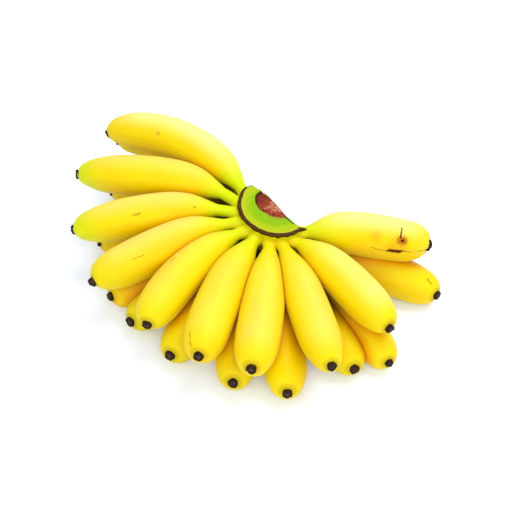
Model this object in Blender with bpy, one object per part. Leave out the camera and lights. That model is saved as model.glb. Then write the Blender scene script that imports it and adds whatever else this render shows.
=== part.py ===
"""A whole hand of baby bananas, picked and laid down on its lower row of fingers.

Two rows of short plump fingers fan out from the crown, the piece of stalk that they grew
on.  The crown is cut flat across its top and split along its back.  Its round side looks
to the front left.  Working sizes are in millimetres and degrees, Z up; headings count
from +X towards +Y.  The finished hand is in metres, centred over its own footprint.
"""

import math
from typing import NamedTuple

import bmesh
import bpy
import numpy as np
from mathutils import Vector

MM = 0.001
SKIN_COLOUR = (0.92, 0.72, 0.02)
RIND_COLOUR = (0.42, 0.50, 0.06)

# The crown: half of a stalk, seen from above as a half disc
CROWN_MIDDLE = (14.0, 20.8)
CROWN_FACING = 222.0
CROWN_RADIUS = 26.5
CROWN_BACK = 2.0
CROWN_CORNER = 2.0
CROWN_TOP = 62.0
CROWN_SIDES = 28
CORNER_TURNS = (20.0, 45.0, 70.0, 90.0)
# Height below its top, and share of its radius, from its foot to the rind's cut edge
CROWN_PROFILE = ((38.0, 0.74), (34.0, 0.88), (24.0, 0.94), (7.0, 0.95), (5.0, 1.0), (0.8, 1.015),
                 (0.0, 0.985))
SEAM = 0.35

# The pith in the middle of the stalk, shrunk below the cut
PITH_HALF_LENGTH = 16.5
PITH_HALF_WIDTH = 10.5
PITH_SHIFT = -3.0
PITH_RECESS = 1.2
PITH_SIDES = 24

# The fingers
BELLY_RADIUS = 14.2
NECK_RADIUS = 4.0
NECK_FLARE = 1.0
NECK_FLARE_REACH = 0.09
STUB_RADIUS = 3.4
STUB_LENGTH = 2.2
# How far past the tip the stub's two last rings lie, and how wide they are beside it
STUB_RINGS = ((0.7, 1.06), (1.0, 0.72))
UPPER_ROOT_HEIGHT = 53.5
LOWER_ROOT_HEIGHT = 38.0
ROOT_DEPTH = 5.0
FINGER_SIDES = 15
RIDGES = 5
RIDGE_HEIGHT = 0.025
CLEARANCE = 0.45
PRESS_STEPS = 14
READINGS_PER_RING = 4
ROOT_HANDLE = 0.32
TIP_HANDLE = 0.36

# How far along the finger its rings lie, closer together where it narrows
RINGS = (0.0, 0.06, 0.12, 0.18, 0.25, 0.33, 0.42, 0.52, 0.62, 0.72, 0.81, 0.88, 0.935, 0.975, 1.0)
# Past the neck, how far along the fruit and how much it has swelled from neck to belly
GIRTH = ((0.0, 0.0), (0.08, 0.29), (0.17, 0.64), (0.27, 0.85), (0.42, 0.96), (0.58, 1.0),
         (0.74, 0.97), (0.85, 0.86), (0.93, 0.63), (0.975, 0.36), (1.0, 0.0))


class Finger(NamedTuple):
    name: str
    root_angle: float   # place on the crown's round side
    leaves: float       # heading out of the crown
    climbs: float       # climb out of the crown
    tip: tuple          # middle of its blunt end
    arrives: float      # heading at the tip
    rises: float        # climb at the tip
    plumpness: float    # its thickness beside the usual one
    neck: float         # share of its length that stays slender


UPPER_ROW = (
    Finger("finger_upper_01", 150, 99, 16, (-108, 103, 59), 180, -12, 1.02, 0.12),
    Finger("finger_upper_02", 168, 129, 13, (-125.5, 71, 46.5), 160, -14, 1.00, 0.165),
    Finger("finger_upper_03", 183, 161, 7, (-123.5, 23, 38), 178, -14, 1.00, 0.16),
    Finger("finger_upper_04", 201, 186, 4, (-106, -21, 35.5), 206, -10, 1.01, 0.135),
    Finger("finger_upper_05", 219, 202, -2, (-68, -58, 35), 247, -2, 0.98, 0.12),
    Finger("finger_upper_06", 238, 234, -4, (-34, -85, 38), 260, 14, 1.01, 0.085),
    Finger("finger_upper_07", 258, 266, -6, (-3, -95, 39), 261, 18, 1.00, 0.10),
    Finger("finger_upper_08", 271, 295, -6, (44, -93, 39), 283, 18, 0.95, 0.105),
    Finger("finger_upper_09", 286, 330, 0, (82, -62, 37), 300, 4, 0.99, 0.10),
    Finger("finger_upper_10", 302, 378, 11, (115, 12, 34.5), 360, -12, 1.05, 0.08),
)
LOWER_ROW = (
    Finger("finger_lower_01", 146, 94, 2, (-106, 122, 36), 190, -8, 1.00, 0.12),
    Finger("finger_lower_02", 161, 114, -14, (-108.5, 83, 12), 186, 6, 1.00, 0.14),
    Finger("finger_lower_03", 178, 162, -22, (-110, 32, 12.6), 188, 8, 1.00, 0.14),
    Finger("finger_lower_04", 199, 186, -24, (-98, -15.5, 13.5), 212, 12, 1.00, 0.14),
    Finger("finger_lower_05", 214, 202, -24, (-81.7, -38, 12.8), 230, 12, 0.96, 0.12),
    Finger("finger_lower_06", 229, 228, -24, (-54, -66, 13.6), 247, 14, 1.00, 0.12),
    Finger("finger_lower_07", 244, 250, -24, (-14, -87.5, 14.4), 264, 17, 1.00, 0.12),
    Finger("finger_lower_08", 258, 278, -24, (19, -94.5, 14.6), 271, 17, 1.00, 0.12),
    Finger("finger_lower_09", 272, 314, -24, (61, -76, 13), 286, 14, 0.94, 0.12),
    Finger("finger_lower_10", 286, 334, -24, (83, -71, 12.8), 292, 12, 0.94, 0.12),
    Finger("finger_lower_11", 301, 386, -16, (122, -14, 12.5), 318, 8, 1.02, 0.10),
)


def heading(degrees, climb=0.0):
    turn = math.radians(degrees)
    up = math.radians(climb)
    return Vector((math.cos(turn) * math.cos(up), math.sin(turn) * math.cos(up), math.sin(up)))


def centreline(finger, root_height):
    """Returns a function that gives the point of the finger's middle line at 0 to 1."""
    middle = Vector((*CROWN_MIDDLE, root_height))
    root = middle + heading(finger.root_angle) * CROWN_RADIUS
    way_out = heading(finger.leaves, finger.climbs)
    tip = Vector(finger.tip)
    reach = (tip - root).length
    start = root - heading(finger.root_angle) * ROOT_DEPTH
    leaving = root + way_out * reach * ROOT_HANDLE
    arriving = tip - heading(finger.arrives, finger.rises) * reach * TIP_HANDLE

    def point(along):
        back = 1.0 - along
        return (start * back ** 3 + leaving * (3 * back * back * along)
                + arriving * (3 * back * along * along) + tip * along ** 3)

    return point


def radius_at(along, finger):
    places, shares = zip(*GIRTH)
    past_neck = (along - finger.neck) / (1.0 - finger.neck)
    swelling = float(np.interp(past_neck, places, shares))
    flare = NECK_FLARE * max(0.0, 1.0 - along / NECK_FLARE_REACH)
    return NECK_RADIUS + flare + (BELLY_RADIUS * finger.plumpness - NECK_RADIUS) * swelling


def finger_rings(finger, root_height):
    """Returns middle, outward directions and radius of each ring, stub included."""
    point = centreline(finger, root_height)
    rings = []
    for along in RINGS:
        ahead = (point(min(along + 0.01, 1.0)) - point(max(along - 0.01, 0.0))).normalized()
        rings.append((point(along), ahead, radius_at(along, finger)))
    tip, ahead, _ = rings[-1]
    rings[-1] = (tip, ahead, STUB_RADIUS)
    for length_share, width_share in STUB_RINGS:
        rings.append((tip + ahead * STUB_LENGTH * length_share, ahead, STUB_RADIUS * width_share))
    return rings


def ring_directions(ahead):
    """Directions round a ring, the first one straight up and the last pair astride below."""
    side = ahead.cross(Vector((0, 0, 1))).normalized()
    up = side.cross(ahead)
    turns = [math.tau * step / FINGER_SIDES for step in range(FINGER_SIDES)]
    return [up * math.cos(turn) + side * math.sin(turn) for turn in turns]


def body_field(rings):
    """Middles and radii read closely along the finger, for measuring how deep a point is."""
    middles = np.array([middle for middle, _, _ in rings])
    radii = np.array([radius for _, _, radius in rings])
    places = np.linspace(0, len(rings) - 1, READINGS_PER_RING * len(rings))
    index = np.arange(len(rings))
    fine = np.stack([np.interp(places, index, middles[:, axis]) for axis in range(3)], 1)
    return fine, np.interp(places, index, radii)


def depth_inside(points, field):
    middles, radii = field
    distance = np.linalg.norm(points[:, None, :] - middles[None], axis=2)
    return (radii[None] - distance).max(axis=1)


def pressed_reach(middles, directions, reach, own, others):
    """Shortens each ray to where a neighbour presses as deep, so the two meet at a flat."""
    low = np.zeros(len(reach))
    high = reach.copy()
    trial = high.copy()
    for _ in range(PRESS_STEPS):
        points = middles + directions * trial[:, None]
        mine = depth_inside(points, own)
        theirs = np.full(len(reach), -np.inf)
        for field in others:
            theirs = np.maximum(theirs, depth_inside(points, field))
        free = mine >= theirs + CLEARANCE
        low = np.where(free, trial, low)
        high = np.where(free, high, trial)
        trial = (low + high) / 2
    return low


def new_object(name, mesh_builder, material):
    mesh = bpy.data.meshes.new(name)
    bm = bmesh.new()
    mesh_builder(bm)
    bmesh.ops.triangulate(bm, faces=bm.faces)
    bmesh.ops.recalc_face_normals(bm, faces=bm.faces)
    bm.to_mesh(mesh)
    bm.free()
    mesh.materials.append(material)
    thing = bpy.data.objects.new(name, mesh)
    bpy.context.scene.collection.objects.link(thing)
    return thing


def skin_rings(bm, loops):
    """Bridges rings of equal count into one closed body with capped ends."""
    rows = [[bm.verts.new(corner) for corner in loop] for loop in loops]
    count = len(rows[0])
    for first, second in zip(rows, rows[1:]):
        for step in range(count):
            following = (step + 1) % count
            bm.faces.new((first[step], first[following], second[following], second[step]))
    bm.faces.new(reversed(rows[0]))
    bm.faces.new(rows[-1])


def make_material(name, colour, roughness):
    material = bpy.data.materials.new(name)
    material.use_nodes = True
    shader = material.node_tree.nodes["Principled BSDF"]
    shader.inputs["Base Color"].default_value = (*colour, 1.0)
    shader.inputs["Roughness"].default_value = roughness
    shader.inputs["Metallic"].default_value = 0.0
    material.diffuse_color = (*colour, 1.0)
    return material


def build_finger(finger, rings, fields, index, material):
    middles = []
    directions = []
    reach = []
    for middle, ahead, radius in rings:
        for step, way in enumerate(ring_directions(ahead)):
            ridge = 1.0 + RIDGE_HEIGHT * math.cos(RIDGES * math.tau * step / FINGER_SIDES)
            middles.append(middle)
            directions.append(way)
            reach.append(radius * ridge)
    others = [field for place, field in enumerate(fields) if place != index]
    middles = np.array(middles)
    directions = np.array(directions)
    reach = pressed_reach(middles, directions, np.array(reach), fields[index], others)
    corners = middles + directions * reach[:, None]
    corners[:, 2] = np.maximum(corners[:, 2], 0.0)
    loops = corners.reshape(len(rings), FINGER_SIDES, 3) * MM
    thing = new_object(finger.name, lambda bm: skin_rings(bm, loops), material)
    thing.data.shade_smooth()
    return thing


def trim_with(thing, cutter):
    cut = thing.modifiers.new("trim", "BOOLEAN")
    cut.operation = "DIFFERENCE"
    cut.object = cutter
    cut.solver = "EXACT"


def crown_outline(radius, grow=0.0):
    """The half disc seen from above: its round side by angle, then its two rounded corners."""
    middle = Vector((*CROWN_MIDDLE, 0.0))
    back = -heading(CROWN_FACING)
    loop = []
    for step in range(CROWN_SIDES + 1):
        turn = CROWN_FACING - 90.0 + 180.0 * step / CROWN_SIDES
        loop.append(middle + heading(turn) * (radius + grow))
    for side, turns in ((1, CORNER_TURNS), (-1, reversed(CORNER_TURNS))):
        way = heading(CROWN_FACING + 90.0 * side)
        hub = middle + way * (radius - CROWN_CORNER) + back * (CROWN_BACK - CROWN_CORNER)
        for turn in turns:
            lean = math.radians(turn)
            loop.append(hub + (way * math.cos(lean) + back * math.sin(lean)) * (CROWN_CORNER + grow))
    return loop


def crown_loops(grow=0.0):
    loops = []
    for below_top, share in CROWN_PROFILE:
        outline = crown_outline(CROWN_RADIUS * share, grow)
        loops.append([point + Vector((0, 0, CROWN_TOP - below_top)) for point in outline])
    for loop, lift in ((loops[0], -grow), (loops[-1], grow)):
        for point in loop:
            point.z += lift
    return [[point * MM for point in loop] for loop in loops]


def build_crown(material):
    crown = new_object("crown", lambda bm: skin_rings(bm, crown_loops()), material)
    crown.data.shade_smooth()
    crown.data.set_sharp_from_angle(angle=math.radians(35))
    return crown


def build_pith_cutter():
    """The shrunken pith: a shallow half-oval recess in the cut face, open at the back."""
    along = heading(CROWN_FACING + 90.0)
    deep = heading(CROWN_FACING)
    centre = Vector((*CROWN_MIDDLE, CROWN_TOP)) + along * PITH_SHIFT
    oval = []
    for step in range(PITH_SIDES):
        turn = math.tau * step / PITH_SIDES
        oval.append(centre + along * (PITH_HALF_LENGTH * math.cos(turn))
                    + deep * (PITH_HALF_WIDTH * math.sin(turn)))
    drop = Vector((0, 0, PITH_RECESS))
    loops = [[(point + drop * side) * MM for point in oval] for side in (-1, 1)]
    return new_object("pith_cutter", lambda bm: skin_rings(bm, loops), None)


def hide_helper(thing):
    thing.hide_render = True
    thing.display_type = "WIRE"


def footprint_middle(things):
    """The point under the middle of the box round the finished things."""
    bpy.context.view_layer.update()
    graph = bpy.context.evaluated_depsgraph_get()
    corners = []
    for thing in things:
        corners += [vertex.co.copy() for vertex in thing.evaluated_get(graph).data.vertices]
    low = [min(corner[axis] for corner in corners) for axis in range(3)]
    high = [max(corner[axis] for corner in corners) for axis in range(3)]
    return Vector(((low[0] + high[0]) / 2, (low[1] + high[1]) / 2, low[2]))


def build_hand():
    for thing in list(bpy.data.objects):
        bpy.data.objects.remove(thing)
    skin = make_material("banana skin", SKIN_COLOUR, 0.42)
    rind = make_material("crown rind", RIND_COLOUR, 0.6)
    seam_cutter = new_object("seam_cutter", lambda bm: skin_rings(bm, crown_loops(SEAM)), None)
    pith_cutter = build_pith_cutter()
    crown = build_crown(rind)
    trim_with(crown, pith_cutter)
    rows = [(finger, UPPER_ROOT_HEIGHT) for finger in UPPER_ROW]
    rows += [(finger, LOWER_ROOT_HEIGHT) for finger in LOWER_ROW]
    rings = [finger_rings(finger, height) for finger, height in rows]
    fields = [body_field(each) for each in rings]
    fruits = []
    for index, (finger, _) in enumerate(rows):
        fruit = build_finger(finger, rings[index], fields, index, skin)
        trim_with(fruit, seam_cutter)
        fruits.append(fruit)
    hand = bpy.data.objects.new("hand", None)
    bpy.context.scene.collection.objects.link(hand)
    hand.location = -footprint_middle([crown, *fruits])
    for thing in (crown, *fruits, seam_cutter, pith_cutter):
        thing.parent = hand
    hide_helper(seam_cutter)
    hide_helper(pith_cutter)


build_hand()
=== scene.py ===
"""The looks of a whole hand of baby bananas, laid down on its lower row of fingers.

Shapes are worked out in millimetres, in the frame that the solids were drawn in, and
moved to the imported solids' place at the end.  Headings count from +X towards +Y.
"""
import math
from typing import NamedTuple

import bpy
import numpy as np
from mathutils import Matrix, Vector, noise


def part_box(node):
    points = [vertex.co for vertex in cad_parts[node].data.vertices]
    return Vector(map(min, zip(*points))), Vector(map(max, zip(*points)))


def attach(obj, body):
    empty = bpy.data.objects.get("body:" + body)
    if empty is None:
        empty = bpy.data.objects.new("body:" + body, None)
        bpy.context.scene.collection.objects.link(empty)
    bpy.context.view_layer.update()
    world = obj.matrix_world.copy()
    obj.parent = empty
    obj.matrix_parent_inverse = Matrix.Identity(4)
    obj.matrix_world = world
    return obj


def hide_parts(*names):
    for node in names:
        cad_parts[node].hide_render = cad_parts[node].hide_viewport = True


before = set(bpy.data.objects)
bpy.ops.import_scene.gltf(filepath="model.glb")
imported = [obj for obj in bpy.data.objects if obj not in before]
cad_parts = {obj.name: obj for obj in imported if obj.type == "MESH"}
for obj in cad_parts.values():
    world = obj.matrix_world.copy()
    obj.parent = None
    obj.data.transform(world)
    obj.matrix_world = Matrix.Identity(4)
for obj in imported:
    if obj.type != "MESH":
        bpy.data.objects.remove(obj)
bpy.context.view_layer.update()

MM = 0.001
TURN = math.tau

# The crown: half of a stalk, seen from above as a half disc
CROWN_MIDDLE = np.array((14.0, 20.8))
CROWN_FACING = 222.0
CROWN_RADIUS = 26.5
CROWN_BACK = 2.0
CROWN_CORNER = 2.0
CROWN_TOP = 62.0
SOLID_SIDES = 28
SOLID_CORNER_TURNS = (20.0, 45.0, 70.0, 90.0)
CROWN_PROFILE = ((38.0, 0.74), (34.0, 0.88), (24.0, 0.94), (7.0, 0.95), (5.0, 1.0), (0.8, 1.015),
                 (0.0, 0.985))

# The fingers
BELLY_RADIUS = 14.2
NECK_RADIUS = 4.0
NECK_FLARE = 1.0
NECK_FLARE_REACH = 0.09
STUB_RADIUS = 3.4
UPPER_ROOT_HEIGHT = 53.5
LOWER_ROOT_HEIGHT = 38.0
ROOT_DEPTH = 5.0
ROOT_HANDLE = 0.32
TIP_HANDLE = 0.36
GIRTH = ((0.0, 0.0), (0.08, 0.29), (0.17, 0.64), (0.27, 0.85), (0.42, 0.96), (0.58, 1.0),
         (0.74, 0.97), (0.85, 0.86), (0.93, 0.63), (0.975, 0.36), (1.0, 0.0))
RIDGES = 5
RIDGE_HEIGHT = 0.022


class Finger(NamedTuple):
    name: str
    root_angle: float   # place on the crown's round side
    leaves: float       # heading out of the crown
    climbs: float       # climb out of the crown
    tip: tuple          # middle of its blunt end
    arrives: float      # heading at the tip
    rises: float        # climb at the tip
    plumpness: float    # its thickness beside the usual one
    neck: float         # share of its length that stays slender
    green_neck: float   # how green it still is at the neck
    green_tip: float    # and at the tip


UPPER_ROW = (
    Finger("upper_01", 152, 103, 16, (-108, 103, 59), 180, -12, 1.02, 0.12, 1.0, 0.25),
    Finger("upper_02", 168, 129, 13, (-125.5, 71, 46.5), 160, -14, 1.00, 0.165, 1.0, 0.86),
    Finger("upper_03", 183, 161, 7, (-123.5, 23, 38), 178, -14, 1.00, 0.16, 0.9, 0.84),
    Finger("upper_04", 201, 186, 4, (-106, -21, 35.5), 202, -7, 1.01, 0.135, 0.8, 0.35),
    Finger("upper_05", 219, 202, -2, (-68, -58, 35), 247, -2, 0.98, 0.12, 0.7, 0.30),
    Finger("upper_06", 238, 234, -4, (-34, -85, 38), 260, 14, 1.01, 0.085, 0.65, 0.15),
    Finger("upper_07", 258, 266, -6, (-2.6, -95, 39), 261, 18, 0.98, 0.10, 0.45, 0.10),
    Finger("upper_08", 271, 295, -6, (44.2, -93, 39), 283, 18, 0.93, 0.105, 0.45, 0.25),
    Finger("upper_09", 286, 330, 0, (82, -62, 37), 300, 4, 0.97, 0.112, 0.5, 0.05),
    Finger("upper_10", 301, 372, 10, (116.2, 9.6, 36), 360, -12, 1.05, 0.08, 0.7, 0.05),
)
LOWER_ROW = (
    Finger("lower_01", 149, 98, 2, (-106, 122, 36), 190, -8, 1.00, 0.12, 0.8, 0.30),
    Finger("lower_02", 161, 114, -14, (-109.5, 90, 12), 186, 6, 1.00, 0.14, 0.7, 0.25),
    Finger("lower_03", 178, 162, -22, (-112, 37, 12.6), 188, 8, 1.00, 0.14, 0.7, 0.20),
    Finger("lower_04", 199, 186, -24, (-98, -15.5, 13.5), 212, 12, 1.00, 0.14, 0.6, 0.20),
    Finger("lower_05", 214, 202, -24, (-81.7, -38, 12.8), 230, 12, 0.96, 0.12, 0.6, 0.50),
    Finger("lower_06", 229, 228, -24, (-54, -66, 13.6), 247, 14, 1.00, 0.12, 0.5, 0.45),
    Finger("lower_07", 244, 250, -24, (-14, -87.5, 14.4), 264, 17, 1.00, 0.12, 0.5, 0.38),
    Finger("lower_08", 258, 278, -24, (19, -94.5, 14.6), 271, 17, 1.00, 0.12, 0.5, 0.15),
    Finger("lower_09", 272, 314, -24, (61, -76, 13), 286, 14, 0.94, 0.12, 0.5, 0.40),
    Finger("lower_10", 286, 334, -24, (83, -71, 12.8), 292, 12, 0.94, 0.12, 0.5, 0.20),
    Finger("lower_11", 301, 386, -16, (122, -14, 12.5), 318, 8, 1.02, 0.10, 0.6, 0.10),
)
FINGERS = [(finger, UPPER_ROOT_HEIGHT) for finger in UPPER_ROW]
FINGERS += [(finger, LOWER_ROOT_HEIGHT) for finger in LOWER_ROW]

# How finely the skins are drawn, with more rings towards the tip
SKIN_SIDES = 72
SKIN_RINGS = 96
RING_CROWDING = 1.3
CLOSING_SHARES = (0.86, 0.6, 0.3)
END_BULGE = 0.2
READINGS = 110
# How close two fingers press, and how near one has to be to paint an orange shade on the other
CLEARANCE = 0.16
PRESS_STEPS = 12
ROUNDING_PASSES = 3
PAINTED_SHADE_REACH = 7.0
# The web that joins a neck to the crown: it flares less on top, and sinks into its neighbours
WEB_FLARE = 1.3
WEB_REACH = 6.5
WEB_SINK = 3.0
WEB_TOP_CUT = 0.9
# Where a finger's ridges and lumps swell and die away, as shares of its length
LUMP_SIZE = 26.0
LUMP_HEIGHT = 0.016
SWELL_SPAN = 0.2
SWELL_END = 0.93
# How far apart two fingers' patterns lie, so that no two are alike
PATTERN_STEP = np.array((61.0, 37.0, 23.0))
# How far a blunt end looks aside from the way that its finger points, in degrees, and how
# far behind the end the turn has its middle and dies away, in mm
END_TURNS = {"upper_01": 12.0, "upper_02": 12.0, "upper_03": 8.0, "upper_04": 14.0,
             "upper_05": 6.0, "upper_10": -27.0, "lower_03": 14.0,
             "lower_04": 10.0, "lower_11": -6.0}
END_PIVOT = 9.0
END_REACH = 15.0
# How slender a neck is beside the usual one, how much fuller an end is, in mm, and where
NECK_SHARES = {"upper_10": 0.84}
FULL_ENDS = {"upper_10": 0.7, "upper_01": -0.7, "upper_02": -1.0, "upper_03": -1.0,
             "upper_08": -1.2, "upper_09": -0.7}
FULL_FROM = (0.74, 0.93)
FULL_UNTIL = (1.0, 0.97)
# How green a finger is by its distance from the crown and from its tip, in mm
NECK_GREEN_SPAN = (12.0, 46.0)
TIP_GREEN_SPAN = (-6.0, 42.0)
# How strong the painted highlight is, a pale top on each finger where the lights catch it, and
# which way that side looks
PAINTED_HIGHLIGHTS = {"upper_01": 1.0, "upper_02": 0.35, "upper_03": 0.45, "upper_04": 0.45,
          "upper_05": 0.25, "upper_06": 0.25, "upper_07": 0.3, "upper_08": 0.35,
          "upper_09": 0.7, "upper_10": 1.0}
PAINTED_HIGHLIGHT_WAY = np.array((0.1, 0.42, 0.9))
PAINTED_HIGHLIGHT_SPAN = (0.1, 1.05)
PAINTED_HIGHLIGHT_POWER = 1.6
# How much painted shade darkens a lower finger's neck, how much farther out than usual, and on
# which finger the side that looks back stays clear
NECK_SHADES = {"lower_11": 0.3, "lower_10": 0.7}
NECK_SHADE_SPAN = (56.0, 24.0)
SHADE_REACHES = {"lower_09": 18.0, "lower_10": 12.0}
OPEN_SIDES = {"lower_01": 0.3}
NO_OPEN_SIDE = 9.0
# The same painted shade under an upper finger's neck
UNDER_NECK_SPAN = (36.0, 12.0)
UNDER_NECK_SHADE = 0.6
# Which side of a finger gets painted shade from its neighbour: 1 the right one, -1 the left one
SHADED_SIDES = {"lower_07": 1.0, "lower_08": 1.0, "lower_09": -1.0, "lower_10": -1.0}
SIDE_SHADE = 0.36
# How deep the yellow is all over a finger, and how strong the painted orange shade is on a shaded
# side, near a lower neck, and in the upper row
SIDE_PAINTED_ORANGE_SHADE = 0.7
NECK_PAINTED_ORANGE_SHADE = 0.7
NECK_PAINTED_ORANGE_SHADE_SPAN = (78.0, 30.0)
UPPER_PAINTED_ORANGE_SHADE = 0.35
DEEP_YELLOWS = {"lower_02": 0.3, "lower_03": 0.4, "lower_04": 0.4, "lower_05": 0.25,
                "lower_06": 0.2, "lower_07": 0.2, "lower_09": 0.15}


# Shapes
def heading(degrees, climb=0.0):
    turn = math.radians(degrees)
    up = math.radians(climb)
    return np.array((math.cos(turn) * math.cos(up), math.sin(turn) * math.cos(up), math.sin(up)))


def crown_outline(radius, sides=SOLID_SIDES, corner_turns=SOLID_CORNER_TURNS, back_steps=0,
                  left_corner=CROWN_CORNER):
    """The half disc from above: its round side by angle, two rounded corners, the back."""
    back = -heading(CROWN_FACING)[:2]
    corners = []
    ends = []
    for side, turns, corner in ((1, corner_turns, CROWN_CORNER),
                                (-1, tuple(reversed(corner_turns)), left_corner)):
        way = heading(CROWN_FACING + 90.0 * side)[:2]
        inward = corner - CROWN_BACK
        hub_along = math.sqrt((radius - corner) ** 2 - inward ** 2)
        hub = CROWN_MIDDLE + way * hub_along - back * inward
        first = math.atan2(inward, hub_along)
        ends.append(math.degrees(first))
        leans = [-first + (math.pi / 2 + first) * turn / 90.0 for turn in turns]
        corners.append([hub + (way * math.cos(lean) + back * math.sin(lean)) * corner
                        for lean in leans])
    start = CROWN_FACING - 90.0 + ends[1]
    sweep = 180.0 - ends[0] - ends[1]
    loop = [CROWN_MIDDLE + heading(start + sweep * step / sides)[:2] * radius
            for step in range(sides + 1)]
    loop += corners[0]
    for step in range(1, back_steps + 1):
        share = step / (back_steps + 1)
        loop.append(corners[0][-1] * (1 - share) + corners[1][0] * share)
    return np.array(loop + corners[1])


def solids_shift():
    """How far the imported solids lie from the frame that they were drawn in, in metres."""
    widest = max(share for _, share in CROWN_PROFILE)
    drawn_low = crown_outline(CROWN_RADIUS * widest).min(axis=0) * MM
    low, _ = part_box("crown")
    return np.array((low[0] - drawn_low[0], low[1] - drawn_low[1], 0.0))


SHIFT = solids_shift()


def smooth_curve(table, at):
    """A smooth curve through the points of a table."""
    places, values = (np.array(column) for column in zip(*table))
    slopes = np.gradient(values, places)
    at = np.clip(at, places[0], places[-1])
    index = np.clip(np.searchsorted(places, at) - 1, 0, len(places) - 2)
    span = places[index + 1] - places[index]
    step = (at - places[index]) / span
    return (values[index] * (2 * step ** 3 - 3 * step ** 2 + 1)
            + values[index + 1] * (3 * step ** 2 - 2 * step ** 3)
            + slopes[index] * span * (step ** 3 - 2 * step ** 2 + step)
            + slopes[index + 1] * span * (step ** 3 - step ** 2))


def fade(value, start, end):
    """0 at start and 1 at end, eased at both."""
    share = np.clip((value - start) / (end - start), 0.0, 1.0)
    return share * share * (3 - 2 * share)


def clouds(points, size, detail=2):
    """Soft random heights between about -1 and 1 at each of the points."""
    flat = (np.asarray(points) / size).reshape(-1, 3)
    heights = [noise.fractal(Vector(point), 1.0, 2.0, detail) for point in flat]
    return np.array(heights).reshape(np.shape(points)[:-1])


def add_ball(name, sides, rings):
    """A plain ball, which every piece is shaped from."""
    bpy.ops.object.select_all(action="DESELECT")
    bpy.ops.mesh.primitive_uv_sphere_add(segments=sides, ring_count=rings, radius=1.0)
    ball = bpy.context.object
    ball.name = name
    ball.data.name = name
    bpy.ops.object.shade_smooth()
    return ball


def shape_ball(ball, grid, **marks):
    """Moves the ball's points to a grid of rings by sides, in mm, and notes marks on them."""
    rings = len(grid) - 1
    sides = len(grid[0])
    mesh = ball.data
    places = np.empty(len(mesh.vertices) * 3)
    mesh.vertices.foreach_get("co", places)
    places = places.reshape(-1, 3)
    ring = np.rint(np.arccos(np.clip(-places[:, 2], -1, 1)) / math.pi * rings).astype(int)
    side = np.rint(np.arctan2(places[:, 1], places[:, 0]) / TURN * sides).astype(int) % sides
    mesh.vertices.foreach_set("co", (grid[ring, side] * MM + SHIFT).ravel())
    for name, values in marks.items():
        kind = "FLOAT_VECTOR" if values.ndim == 3 else "FLOAT"
        mark = mesh.attributes.new(name, kind, "POINT")
        mark.data.foreach_set("vector" if values.ndim == 3 else "value", values[ring, side].ravel())
    mesh.update()


# The fingers
def middle_line(finger, root_height, along):
    root = np.array((*CROWN_MIDDLE, root_height)) + heading(finger.root_angle) * CROWN_RADIUS
    tip = np.array(finger.tip, float)
    reach = np.linalg.norm(tip - root)
    start = root - heading(finger.root_angle) * ROOT_DEPTH
    leaving = root + heading(finger.leaves, finger.climbs) * reach * ROOT_HANDLE
    arriving = tip - heading(finger.arrives, finger.rises) * reach * TIP_HANDLE
    a = np.asarray(along)[..., None]
    b = 1.0 - a
    return start * b ** 3 + leaving * 3 * b * b * a + arriving * 3 * b * a * a + tip * a ** 3


def ring_frames(finger, root_height, along):
    """Middle, way ahead, way up and way to the side at each place along the finger."""
    ahead = (middle_line(finger, root_height, np.minimum(along + 0.01, 1.0))
             - middle_line(finger, root_height, np.maximum(along - 0.01, 0.0)))
    ahead /= np.linalg.norm(ahead, axis=1)[:, None]
    side = np.cross(ahead, (0.0, 0.0, 1.0))
    side /= np.linalg.norm(side, axis=1)[:, None]
    return middle_line(finger, root_height, along), ahead, np.cross(side, ahead), side


def radius_at(finger, along):
    swelling = smooth_curve(GIRTH, (along - finger.neck) / (1.0 - finger.neck))
    flare = NECK_FLARE * np.maximum(0.0, 1.0 - along / NECK_FLARE_REACH)
    neck = NECK_RADIUS * NECK_SHARES.get(finger.name, 1.0)
    fuller = (FULL_ENDS.get(finger.name, 0.0) * fade(along, *FULL_FROM)
              * fade(along, *FULL_UNTIL))
    return neck + flare + fuller + (BELLY_RADIUS * finger.plumpness - neck) * swelling


def body_field(finger, root_height):
    """Balls strung along the finger, for measuring how deep a point is in it."""
    along = np.linspace(0.0, 1.0, READINGS)
    return middle_line(finger, root_height, along), radius_at(finger, along)


def depth_inside(points, field):
    middles, radii = field
    gaps = ((points ** 2).sum(axis=1)[:, None] + (middles ** 2).sum(axis=1)[None]
            - 2 * points @ middles.T)
    return (radii[None] - np.sqrt(np.maximum(gaps, 0.0))).max(axis=1)


def deepest(points, fields):
    depth = np.full(len(points), -1e9)
    for field in fields:
        depth = np.maximum(depth, depth_inside(points, field))
    return depth


def near_fields(index, fields):
    """The fields of the fingers whose boxes meet this one's."""
    def box_of(field):
        middles, radii = field
        return (middles - radii[:, None]).min(axis=0), (middles + radii[:, None]).max(axis=0)

    low, high = box_of(fields[index])
    near = []
    for place, field in enumerate(fields):
        other_low, other_high = box_of(field)
        if place != index and (other_low <= high).all() and (other_high >= low).all():
            near.append(field)
    return near


def press(middles, ways, reach, clearance, own, others):
    """Shortens each ray to where a neighbour presses as deep, so the two meet at a flat."""
    squeezed = (depth_inside(middles + ways * reach[:, None], own)
                < deepest(middles + ways * reach[:, None], others) + clearance)
    starts = middles[squeezed]
    rays = ways[squeezed]
    gap = clearance[squeezed]
    low = np.zeros(len(starts))
    high = reach[squeezed]
    for _ in range(PRESS_STEPS):
        trial = (low + high) / 2
        points = starts + rays * trial[:, None]
        free = depth_inside(points, own) >= deepest(points, others) + gap
        low = np.where(free, trial, low)
        high = np.where(free, high, trial)
    pressed = reach.copy()
    pressed[squeezed] = low
    return pressed


def rounded(reach):
    """Takes the sharp edges off the pressed flats."""
    softer = reach.copy()
    for _ in range(ROUNDING_PASSES):
        softer = (2 * softer + np.roll(softer, 1, axis=1) + np.roll(softer, -1, axis=1)) / 4
        inner = (2 * softer[1:-1] + softer[:-2] + softer[2:]) / 4
        softer = np.concatenate((softer[:1], inner, softer[-1:]))
    return np.minimum(softer, reach)


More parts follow.
